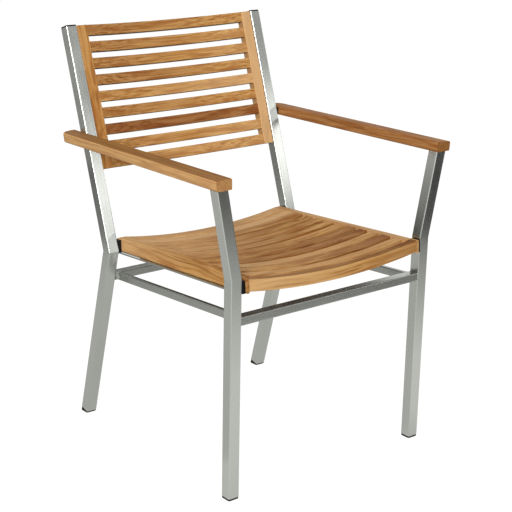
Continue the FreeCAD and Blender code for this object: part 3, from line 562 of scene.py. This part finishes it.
@dataclass
class TeakMember:
    """One teak member: a milled copy of its solid with its own grain and tone."""

    node: str
    grain_axis: Vector
    tones: Tones
    # How much darker its top is, how much painted shade its slot sides get, and how dark its end
    # grain is, which on an inner side is painted shade
    handled: float = 0.0
    slot_shade: float = 0.0
    end_brown_and_shade: float = 0.25
    figure_scale: float = 1.0
    edge_mm: float = 1.0
    inner_side: Vector = field(default_factory=Vector)

    # Long edges that bend more than a corner are eased, and a crisp edge is shaded sharp
    CORNER_DEGREES: ClassVar[float] = 25.0
    CRISP_DEGREES: ClassVar[float] = 35.0
    FLAT_DEGREES: ClassVar[float] = 0.3
    WELD_MM: ClassVar[float] = 0.005
    EDGE_STEPS: ClassVar[int] = 3
    # How well a direction has to agree with an axis to count as along it
    ALONG: ClassVar[float] = 0.8
    # Limits of the board's distance from its log's middle, its place along it and its tone
    PITH_MM: ClassVar[tuple[float, float]] = (60.0, 130.0)
    LOG_METRES: ClassVar[float] = 5.0
    BOARD_TONE: ClassVar[float] = 0.06

    def build(self, material: bpy.types.Material, draw: random.Random) -> bpy.types.Object:
        """Mill the member and set it on the chair.

        Args:
            material: The teak finish.
            draw: Source of the piece's place in its log.

        Returns:
            The finished object, which stands for the CAD node.
        """
        name = f"teak_{self.node}"
        mesh = self.milled_mesh(name)
        self.write_grain(mesh, draw)
        piece = bpy.data.objects.new(name, mesh)
        bpy.context.scene.collection.objects.link(piece)
        even = piece.modifiers.new("even_faces", "WEIGHTED_NORMAL")
        even.keep_sharp = True
        dress(piece, material)
        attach(piece, BODY)
        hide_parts(self.node)
        log.info("teak member %s, %d faces", name, len(mesh.polygons))
        return piece

    def milled_mesh(self, name: str) -> bpy.types.Mesh:
        """Copy the solid's mesh and ease its long edges.

        Args:
            name: Name of the new mesh.

        Returns:
            The mesh with rounded edges and smooth shading.
        """
        work = bmesh.new()
        work.from_mesh(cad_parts[self.node].data)
        bmesh.ops.remove_doubles(work, verts=work.verts, dist=self.WELD_MM * MM)
        bmesh.ops.dissolve_limit(
            work, angle_limit=math.radians(self.FLAT_DEGREES),
            verts=work.verts, edges=work.edges,
        )
        corners = [edge for edge in work.edges if self.is_eased(edge)]
        bmesh.ops.bevel(
            work, geom=corners, offset=self.edge_mm * MM, offset_type="OFFSET",
            segments=self.EDGE_STEPS, profile=0.5, affect="EDGES", clamp_overlap=True,
        )
        mesh = bpy.data.meshes.new(name)
        work.to_mesh(mesh)
        work.free()
        mesh.shade_smooth()
        mesh.set_sharp_from_angle(angle=math.radians(self.CRISP_DEGREES))
        return mesh

    def is_eased(self, edge: bmesh.types.BMEdge) -> bool:
        """Tell whether an edge is an outer corner that the maker rounds over.

        Args:
            edge: An edge of the member's mesh.

        Returns:
            Whether the edge runs along the grain and sticks out.
        """
        if len(edge.link_faces) != 2:
            return False
        if edge.calc_face_angle_signed() < math.radians(self.CORNER_DEGREES):
            return False
        step = edge.verts[1].co - edge.verts[0].co
        return abs(step.normalized().dot(self.grain_axis)) > self.ALONG

    def write_grain(self, mesh: bpy.types.Mesh, draw: random.Random) -> None:
        """Store where each point lay in the log that the member was cut from.

        Args:
            mesh: The member's mesh.
            draw: Source of the place in the log.
        """
        along = self.grain_axis.normalized()
        lies_across = abs(along.x) > self.ALONG
        across = Vector((0.0, 0.0, 1.0)) if lies_across else Vector((1.0, 0.0, 0.0))
        depth = along.cross(across).normalized()
        across = depth.cross(along)
        pith_distance = draw.uniform(*self.PITH_MM) * MM
        pith_angle = draw.uniform(0.0, math.tau)
        shift = Vector((
            draw.uniform(-self.LOG_METRES, self.LOG_METRES),
            pith_distance * math.cos(pith_angle),
            pith_distance * math.sin(pith_angle),
        ))
        board = draw.uniform(-self.BOARD_TONE, self.BOARD_TONE)
        centre = sum((vertex.co for vertex in mesh.vertices), Vector()) / len(mesh.vertices)
        places: list[float] = []
        tones: list[float] = []
        for vertex in mesh.vertices:
            local = vertex.co - centre
            run = local.dot(along)
            places.extend((
                run + shift.x,
                local.dot(across) / self.figure_scale + shift.y,
                local.dot(depth) / self.figure_scale + shift.z,
            ))
            tones.append(self.tone_at(run) + board)
        mesh.attributes.new(GRAIN, "FLOAT_VECTOR", "POINT").data.foreach_set("vector", places)
        mesh.attributes.new(TONE, "FLOAT", "POINT").data.foreach_set("value", tones)
        for name, value in ((TOP_TINT, self.handled), (SLOT_SHADE, self.slot_shade)):
            level = [value] * len(mesh.vertices)
            mesh.attributes.new(name, "FLOAT", "POINT").data.foreach_set("value", level)
        # End grain is darker wood; an inner side gets the same share as painted shade
        end_and_shade_shares = [self.end_brown_and_shade * self.is_end_or_shaded_side(face.normal) for face in mesh.polygons]
        mesh.attributes.new(END_GRAIN_AND_SHADE, "FLOAT", "FACE").data.foreach_set("value", end_and_shade_shares)

    def is_end_or_shaded_side(self, normal: Vector) -> bool:
        """Tell whether a face is end grain, or an inner side between the slats that gets painted
        shade.
        """
        is_end = abs(normal.dot(self.grain_axis)) > self.ALONG
        return is_end or normal.dot(self.inner_side) > self.ALONG

    def tone_at(self, along: float) -> float:
        """Find how brown the wood is at a place along the member.

        Args:
            along: Distance from the member's middle, in metres.

        Returns:
            The share of brown, which is below nought where the wood is paler.
        """
        stops = self.tones
        for (start, first), (end, last) in zip(stops, stops[1:]):
            if along < end * MM:
                share = max(0.0, (along / MM - start) / (end - start))
                return first + (last - first) * share
        return stops[-1][1]


@dataclass
class Seat:
    """Dished teak seat: side rails, front and back rails and eleven slats."""

    slats: int = 11
    slope_degrees: float = 2.8
    edge_mm: float = 0.9
    # Share of painted shade on the slats' sides in the slots between them
    slot_shade_share: float = 0.22
    figure_scale: float = 2.2
    lip_handled: float = 0.85
    slat_handled: float = 0.05

    # Below nought the wood is paler
    BROWN: ClassVar[Mapping[str, Tones]] = {
        "seat_front_rail": ((-120.0, -0.45), (60.0, -0.05), (205.0, 0.45)),
        "seat_slat_1": ((0.0, -0.25),),
        "seat_slat_2": ((-120.0, -0.1), (20.0, 0.45), (200.0, 0.9)),
        "seat_slat_3": ((-150.0, -0.6), (150.0, -0.2)),
        "seat_slat_4": ((-150.0, 0.15), (150.0, 0.6)),
        "seat_slat_5": ((-150.0, 0.0), (150.0, 0.55)),
        "seat_slat_6": ((-100.0, -0.15), (150.0, -0.1)),
        "seat_slat_7": ((-100.0, -0.3), (150.0, 0.1)),
        "seat_slat_8": ((-100.0, -0.5), (150.0, 0.1)),
        "seat_slat_9": ((-100.0, -0.35), (150.0, 0.2)),
        "seat_slat_10": ((-100.0, -0.35), (150.0, 0.1)),
        "seat_slat_11": ((-100.0, -0.9), (150.0, -0.75)),
        "seat_back_rail": ((0.0, -0.5),),
        "seat_side_rail_left": ((-200.0, 0.4), (-110.0, 0.1), (60.0, -0.45)),
        "seat_side_rail_right": ((0.0, -0.3),),
    }

    def members(self) -> list[TeakMember]:
        """List the seat's teak rails and slats.

        Returns:
            The members, each with its grain and tone.
        """
        across = Vector((1.0, 0.0, 0.0))
        slope = math.radians(self.slope_degrees)
        along = Vector((0.0, math.cos(slope), -math.sin(slope)))
        # Each member's grain, how dark its top is and how much painted shade its slot sides get
        woods = {
            "seat_front_rail": (across, self.lip_handled, 0.0),
            "seat_back_rail": (across, 0.0, 0.0),
            "seat_side_rail_left": (along, 0.0, 0.0),
            "seat_side_rail_right": (along, 0.0, 0.0),
        }
        woods.update({
            f"seat_slat_{number}": (across, self.slat_handled, self.slot_shade_share)
            for number in range(1, self.slats + 1)
        })
        return [
            TeakMember(
                name, axis, self.BROWN[name], handled, slot_shade,
                figure_scale=self.figure_scale, edge_mm=self.edge_mm,
            )
            for name, (axis, handled, slot_shade) in woods.items()
        ]


@dataclass
class BackPanel:
    """Teak back: two stiles, top and bottom rails and seven bowed slats."""

    slats: int = 7
    recline_degrees: float = 17.4
    stile_figure: float = 5.0
    # Share of darkening on the stiles' ends, and of painted shade on their inner sides between the
    # slats
    stile_inner_shade: float = 0.4
    edge_mm: float = 1.0

    # Below nought the wood is paler
    BROWN: ClassVar[Mapping[str, Tones]] = {
        "back_top_rail": ((-150.0, 0.4), (150.0, 0.0)),
        "back_slat_7": ((-150.0, 0.45), (150.0, -0.1)),
        "back_slat_6": ((-150.0, 0.4), (150.0, -0.15)),
        "back_slat_5": ((-150.0, 0.42), (-20.0, 0.4), (60.0, 0.15), (150.0, 0.05)),
        "back_slat_4": ((-150.0, 0.05), (150.0, -0.5)),
        "back_slat_3": ((-150.0, 0.38), (150.0, 0.12)),
        "back_slat_2": ((-150.0, 0.85), (150.0, 0.7)),
        "back_slat_1": ((-150.0, 0.3), (150.0, -0.25)),
        "back_bottom_rail": ((-190.0, 0.2), (-120.0, -0.05), (150.0, -0.15)),
        "back_stile_left": ((0.0, 0.06),),
        "back_stile_right": ((0.0, -0.75),),
    }

    def members(self) -> list[TeakMember]:
        """List the back's teak rails, slats and stiles.

        Returns:
            The members, each with its grain and tone.
        """
        across = Vector((1.0, 0.0, 0.0))
        recline = math.radians(self.recline_degrees)
        upward = Vector((0.0, math.sin(recline), math.cos(recline)))
        slats = [f"back_slat_{number}" for number in range(1, self.slats + 1)]
        found = [
            TeakMember(name, across, self.BROWN[name], edge_mm=self.edge_mm)
            for name in ("back_top_rail", "back_bottom_rail", *slats)
        ]
        for name, inner_side in (("back_stile_left", across), ("back_stile_right", -across)):
            found.append(TeakMember(
                name, upward, self.BROWN[name], end_brown_and_shade=self.stile_inner_shade,
                figure_scale=self.stile_figure, edge_mm=self.edge_mm, inner_side=inner_side,
            ))
        return found


@dataclass
class Armrests:
    """The two teak arms, whose tops are tinted darker."""

    edge_mm: float = 1.0
    end_brown_and_shade: float = 0.5
    figure_scale: float = 1.15

    # Share of brown in each arm's wood, and how much darker its top is
    WOOD: ClassVar[Mapping[str, tuple[float, float]]] = {
        "arm_left": (-0.28, 0.9),
        "arm_right": (0.62, 0.0),
    }

    def members(self) -> list[TeakMember]:
        """List the arms.

        Returns:
            The members, each with its grain and tone.
        """
        along = Vector((0.0, 1.0, 0.0))
        return [
            TeakMember(
                name, along, ((0.0, brown),), handled, end_brown_and_shade=self.end_brown_and_shade,
                figure_scale=self.figure_scale, edge_mm=self.edge_mm,
            )
            for name, (brown, handled) in self.WOOD.items()
        ]


@dataclass
class SteelFrame:
    """Satin steel tubes, bars, plates and tabs, each brushed along its length."""

    PIECES: ClassVar[Mapping[Brush, Sequence[str]]] = {
        Brush.FRONT_LEG: ("front_leg_left", "front_leg_right"),
        Brush.ARM_POST_LEFT: ("arm_post_left",),
        Brush.ARM_POST_RIGHT: ("arm_post_right",),
        Brush.REAR_LEG: ("rear_leg_left", "rear_leg_right"),
        Brush.BACK_POST: ("back_post_left", "back_post_right", "back_tabs"),
        Brush.ACROSS: ("front_rail", "rear_rail"),
        Brush.FORE_AND_AFT: (
            "side_rail_left", "side_rail_right", "seat_bearer_left", "seat_bearer_right",
            "arm_plate_left", "arm_plate_right",
        ),
    }

    def dress(self) -> None:
        """Give each steel piece the satin finish for its direction."""
        for brush, nodes in self.PIECES.items():
            material = SatinSteel(brush).material()
            for node in nodes:
                dress(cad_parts[node], material)
                log.info("steel piece %s in %s", node, material.name)


@dataclass
class Fittings:
    """Black plastic glides, caps, pads and spacers, and the screws and pins."""

    plastic: Sequence[str] = (
        "front_foot", "rear_foot", "post_cap", "seat_pad_front", "seat_pad_rear", "arm_spacer",
    )
    fasteners: Sequence[str] = ("seat_screws", "back_screws", "arm_fasteners")

    def dress(self) -> None:
        """Give the plastic and the fasteners their finishes."""
        plastic = MouldedPlastic().material()
        steel = ScrewSteel().material()
        for stem in self.plastic:
            for side in ("left", "right"):
                dress(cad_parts[f"{stem}_{side}"], plastic)
                log.info("plastic piece %s_%s", stem, side)
        for node in self.fasteners:
            dress(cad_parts[node], steel)
            log.info("fasteners %s", node)


@dataclass(frozen=True)
class Softbox:
    """A soft rectangular lamp that points at a spot on the chair."""

    name: str
    place: tuple[float, float, float]
    aim: tuple[float, float, float]
    width: float
    height: float
    watts: float

    def build(self) -> None:
        """Hang the lamp."""
        lamp = bpy.data.lights.new(self.name, "AREA")
        lamp.shape = "RECTANGLE"
        lamp.size = self.width
        lamp.size_y = self.height
        lamp.energy = self.watts
        holder = bpy.data.objects.new(self.name, lamp)
        holder.location = self.place
        direction = Vector(self.aim) - Vector(self.place)
        holder.rotation_euler = direction.to_track_quat("-Z", "Y").to_euler()
        bpy.context.scene.collection.objects.link(holder)
        log.info("lamp %s, %.0f W", self.name, self.watts)


def show_to_metal(
    card: bpy.types.Object, tone: bpy.types.NodeSocket, tree: bpy.types.NodeTree,
) -> None:
    """Finish a glowing card of the set that only the metal reflects, as painted reflection.

    Args:
        card: The card, with its material in place.
        tone: The output that gives its grey.
        tree: The material's node tree.
    """
    shader = add_node(tree, "ShaderNodeEmission", {"Color": tone})
    add_node(tree, "ShaderNodeOutputMaterial", {"Surface": shader.outputs[0]})
    bpy.context.scene.collection.objects.link(card)
    card.visible_camera = False
    card.visible_diffuse = False
    card.visible_shadow = False
    card.visible_transmission = False


@dataclass(frozen=True)
class Flag:
    """An upright glowing card at or round the chair, which only the metal reflects, as painted
    reflection.
    """

    name: str
    place: tuple[float, float, float]
    width: float
    height: float
    low: str
    high: str
    along: Optional[tuple[float, float]] = None

    def build(self) -> None:
        """Stand the card up along its own line, or else so that it faces the chair."""
        line = self.along or (-self.place[1], self.place[0])
        side = Vector((*line, 0.0)).normalized() * self.width / 2.0
        left, right = Vector(self.place) - side, Vector(self.place) + side
        rise = Vector((0.0, 0.0, self.height))
        mesh = bpy.data.meshes.new(self.name)
        mesh.from_pydata([left, right, right + rise, left + rise], [], [(0, 1, 2, 3)])
        card = bpy.data.objects.new(self.name, mesh)
        material, tree = new_material(f"grey_card_{self.name}")
        dress(card, material)
        place = add_node(tree, "ShaderNodeTexCoord")
        level = add_node(tree, "ShaderNodeSeparateXYZ", {0: place.outputs["Object"]})
        bottom = self.place[2]
        share = add_node(tree, "ShaderNodeMapRange", {
            "Value": level.outputs["Z"], "From Min": bottom, "From Max": bottom + self.height,
        })
        tone = add_node(tree, "ShaderNodeValToRGB", {0: share.outputs[0]}, stops=(
            (0.0, self.low), (1.0, self.high),
        ))
        show_to_metal(card, tone.outputs[0], tree)


@dataclass(frozen=True)
class PaperSweep:
    """A glowing round on the floor that only the metal reflects, greying outwards as a painted
    pool of light.
    """

    name: str
    centre: tuple[float, float]
    lift: float
    # Metres from the centre, and the paper's tone there
    tones: Sequence[tuple[float, str]]
    radius: float

    def build(self) -> None:
        """Lay the paper on the floor."""
        card = bpy.data.objects.new(self.name, disc_mesh(self.name, self.radius))
        card.location = (*self.centre, self.lift)
        material, tree = new_material(f"grey_{self.name}")
        dress(card, material)
        place = add_node(tree, "ShaderNodeTexCoord")
        distance = add_node(tree, "ShaderNodeVectorMath", {
            0: place.outputs["Object"],
        }, operation="LENGTH")
        share = add_node(tree, "ShaderNodeMapRange", {
            "Value": distance.outputs["Value"], "From Max": self.radius,
        })
        stops = [(metres / self.radius, tone) for metres, tone in self.tones]
        tone = add_node(tree, "ShaderNodeValToRGB", {0: share.outputs[0]}, stops=stops)
        show_to_metal(card, tone.outputs[0], tree)


@dataclass
class Studio:
    """White floor and surround, soft lamps, glowing cards of painted reflection, and the camera.
    """

    # The floor glows white, and a share of its colour is left to take the shadow
    floor_radius: float = 40.0
    floor_colour: str = "#F4F4F2"
    floor_glow: float = 0.93
    floor_shadow: float = 0.22
    floor_bounce: float = 0.35
    fill: float = 0.4
    azimuth_degrees: float = -37.632
    elevation_degrees: float = 16.797
    roll_degrees: float = 0.123
    distance: float = 2.823
    target: tuple[float, float, float] = (0.01856, -0.02061, 0.38750)
    focal_pixels: float = 1313.85

    LAMPS: ClassVar[tuple[Softbox, ...]] = (
        Softbox("key_front_left", (-2.5, -2.4, 1.9), (0.0, 0.0, 0.5), 1.4, 1.4, 97.0),
        Softbox("strip_front_right", (1.85, -2.15, 1.39), (0.0, 0.1, 0.6), 1.8, 0.42, 4.1),
        Softbox("top", (0.3, 0.4, 3.0), (0.0, 0.0, 0.4), 2.0, 2.0, 5.0),
    )

    # Glowing cards seen only by the metal, as painted reflection: the darker middle of
    # paper_under_chair is the chair's painted shadow, the dark flags put painted shade into the
    # reflections, and the small white cards beside the arm and the seat are painted highlights
    CARDS: ClassVar[tuple[PaperSweep | Flag, ...]] = (
        PaperSweep("paper_under_chair", (0.05, 0.10), 0.002, (
            (0.0, "#D0D0CE"), (0.36, "#D4D4D2"), (0.46, "#E2E2E0"), (0.56, "#F1F1EF"),
            (0.90, "#F3F3F1"), (1.32, "#CCCCCA"), (1.52, "#BCBCBA"), (1.95, "#8A8A88"),
            (2.30, "#50504E"),
        ), 6.0),
        PaperSweep("paper_front_left", (-1.70, -1.40), 0.004, (
            (0.0, "#FFFFFF"), (1.3, "#F4F4F4"),
        ), 1.3),
        PaperSweep("paper_back_left", (-0.75, 0.55), 0.004, (
            (0.0, "#D3D3D1"), (0.8, "#CDCDCB"),
        ), 0.8),
        Flag("flag_back_left", (-1.40, 1.80, 0.0), 6.0, 1.60, "#888886", "#C6C6C4"),
        Flag("flag_behind", (0.10, 0.50, 0.31), 0.42, 0.30, "#8C8C8A", "#5E5E5C"),
        Flag("flag_low_behind", (-0.42, 0.56, 0.30), 0.46, 0.20, "#8A8A88", "#404040"),
        Flag("flag_near_right", (0.77, -0.69, 0.24), 0.70, 0.32, "#505050", "#040404"),
        Flag("flag_over_seat", (0.155, -0.168, 0.45), 0.18, 0.18, "#0C0C0C", "#BCBCBA"),
        Flag(
            "flag_beside_arm", (0.2585, 0.167, 0.630), 0.075, 0.028,
            "#FFFFFF", "#FFFFFF", FRONT_TO_BACK,
        ),
        Flag(
            "flag_beside_seat", (-0.2245, 0.0965, 0.405), 0.073, 0.045,
            "#FFFFFF", "#FFFFFF", FRONT_TO_BACK,
        ),
        Flag("flag_front_right", (1.70, -2.15, 0.0), 3.4, 1.05, "#5C5C5A", "#5C5C5A"),
        Flag("flag_high_front_right", (1.85, -2.20, 1.50), 4.0, 1.10, "#969694", "#969694"),
    )

    def build(self) -> None:
        """Set up the floor, the surround, the lamps, the cards and the camera."""
        self.build_floor()
        self.build_surround()
        for item in self.LAMPS + self.CARDS:
            item.build()
        self.build_camera()
        bpy.context.scene.view_settings.view_transform = "Standard"

    def seen_directly(self, tree: bpy.types.NodeTree) -> bpy.types.NodeSocket:
        """Mask that is one for camera, glossy and transmission rays.

        Args:
            tree: The tree of the floor or the surround.

        Returns:
            The mask's output.
        """
        path = add_node(tree, "ShaderNodeLightPath")
        first = add_node(tree, "ShaderNodeMath", {
            0: path.outputs["Is Camera Ray"], 1: path.outputs["Is Glossy Ray"],
        }, operation="MAXIMUM")
        both = add_node(tree, "ShaderNodeMath", {
            0: first.outputs[0], 1: path.outputs["Is Transmission Ray"],
        }, operation="MAXIMUM")
        return both.outputs[0]

    def build_floor(self) -> None:
        """Lay a plain white floor that shows white and keeps a faint shadow."""
        floor = bpy.data.objects.new("floor", disc_mesh("floor", self.floor_radius))
        bpy.context.scene.collection.objects.link(floor)
        material, tree = new_material("white_paper_floor")
        colour = Vector(to_linear(self.floor_colour)[:3])
        plain, shadow = (
            add_node(tree, "ShaderNodeBsdfDiffuse", {"Color": (*(colour * share), 1.0)})
            for share in (self.floor_bounce, self.floor_shadow)
        )
        glow = add_node(tree, "ShaderNodeEmission", {"Strength": self.floor_glow})
        bright = add_node(tree, "ShaderNodeAddShader", {0: shadow.outputs[0], 1: glow.outputs[0]})
        mixed = add_node(tree, "ShaderNodeMixShader", {
            0: self.seen_directly(tree), 1: plain.outputs[0], 2: bright.outputs[0],
        })
        add_node(tree, "ShaderNodeOutputMaterial", {"Surface": mixed.outputs[0]})
        dress(floor, material)

    def build_surround(self) -> None:
        """Make the white surround and its softer fill light."""
        world = bpy.data.worlds.new("white_studio")
        world.use_nodes = True
        tree = world.node_tree
        tree.nodes.clear()
        light, white = (
            add_node(tree, "ShaderNodeBackground", {
                "Color": to_linear("#FFFFFF"), "Strength": strength,
            })
            for strength in (self.fill, 1.0)
        )
        mixed = add_node(tree, "ShaderNodeMixShader", {
            0: self.seen_directly(tree), 1: light.outputs[0], 2: white.outputs[0],
        })
        add_node(tree, "ShaderNodeOutputWorld", {"Surface": mixed.outputs[0]})
        bpy.context.scene.world = world

    def build_camera(self) -> None:
        """Place the camera at the photograph's viewing angle."""
        azimuth = math.radians(self.azimuth_degrees)
        elevation = math.radians(self.elevation_degrees)
        flat = math.cos(elevation)
        back = Vector((flat * math.sin(azimuth), -flat * math.cos(azimuth), math.sin(elevation)))
        level = Vector((math.cos(azimuth), math.sin(azimuth), 0.0))
        roll = math.radians(self.roll_degrees)
        right = level * math.cos(roll) + back.cross(level) * math.sin(roll)
        up = back.cross(right)
        turn = Matrix((right, up, back)).transposed().to_4x4()
        camera = bpy.data.cameras.new("camera")
        camera.sensor_width = SENSOR_MM
        camera.lens = self.focal_pixels * SENSOR_MM / PICTURE_PIXELS
        holder = bpy.data.objects.new("camera", camera)
        holder.matrix_world = Matrix.Translation(Vector(self.target) + back * self.distance) @ turn
        bpy.context.scene.collection.objects.link(holder)
        bpy.context.scene.camera = holder
        log.info("camera lens %.2f mm", camera.lens)


def main() -> None:
    """Build the chair's looks and the studio around it."""
    logging.basicConfig(level=logging.INFO, format="%(message)s")
    draw = random.Random(GRAIN_SEED)
    teak = Teak().material()
    for assembly in (Seat(), BackPanel(), Armrests()):
        for member in assembly.members():
            member.build(teak, draw)
    SteelFrame().dress()
    Fittings().dress()
    Studio().build()


if __name__ == "__main__":
    main()
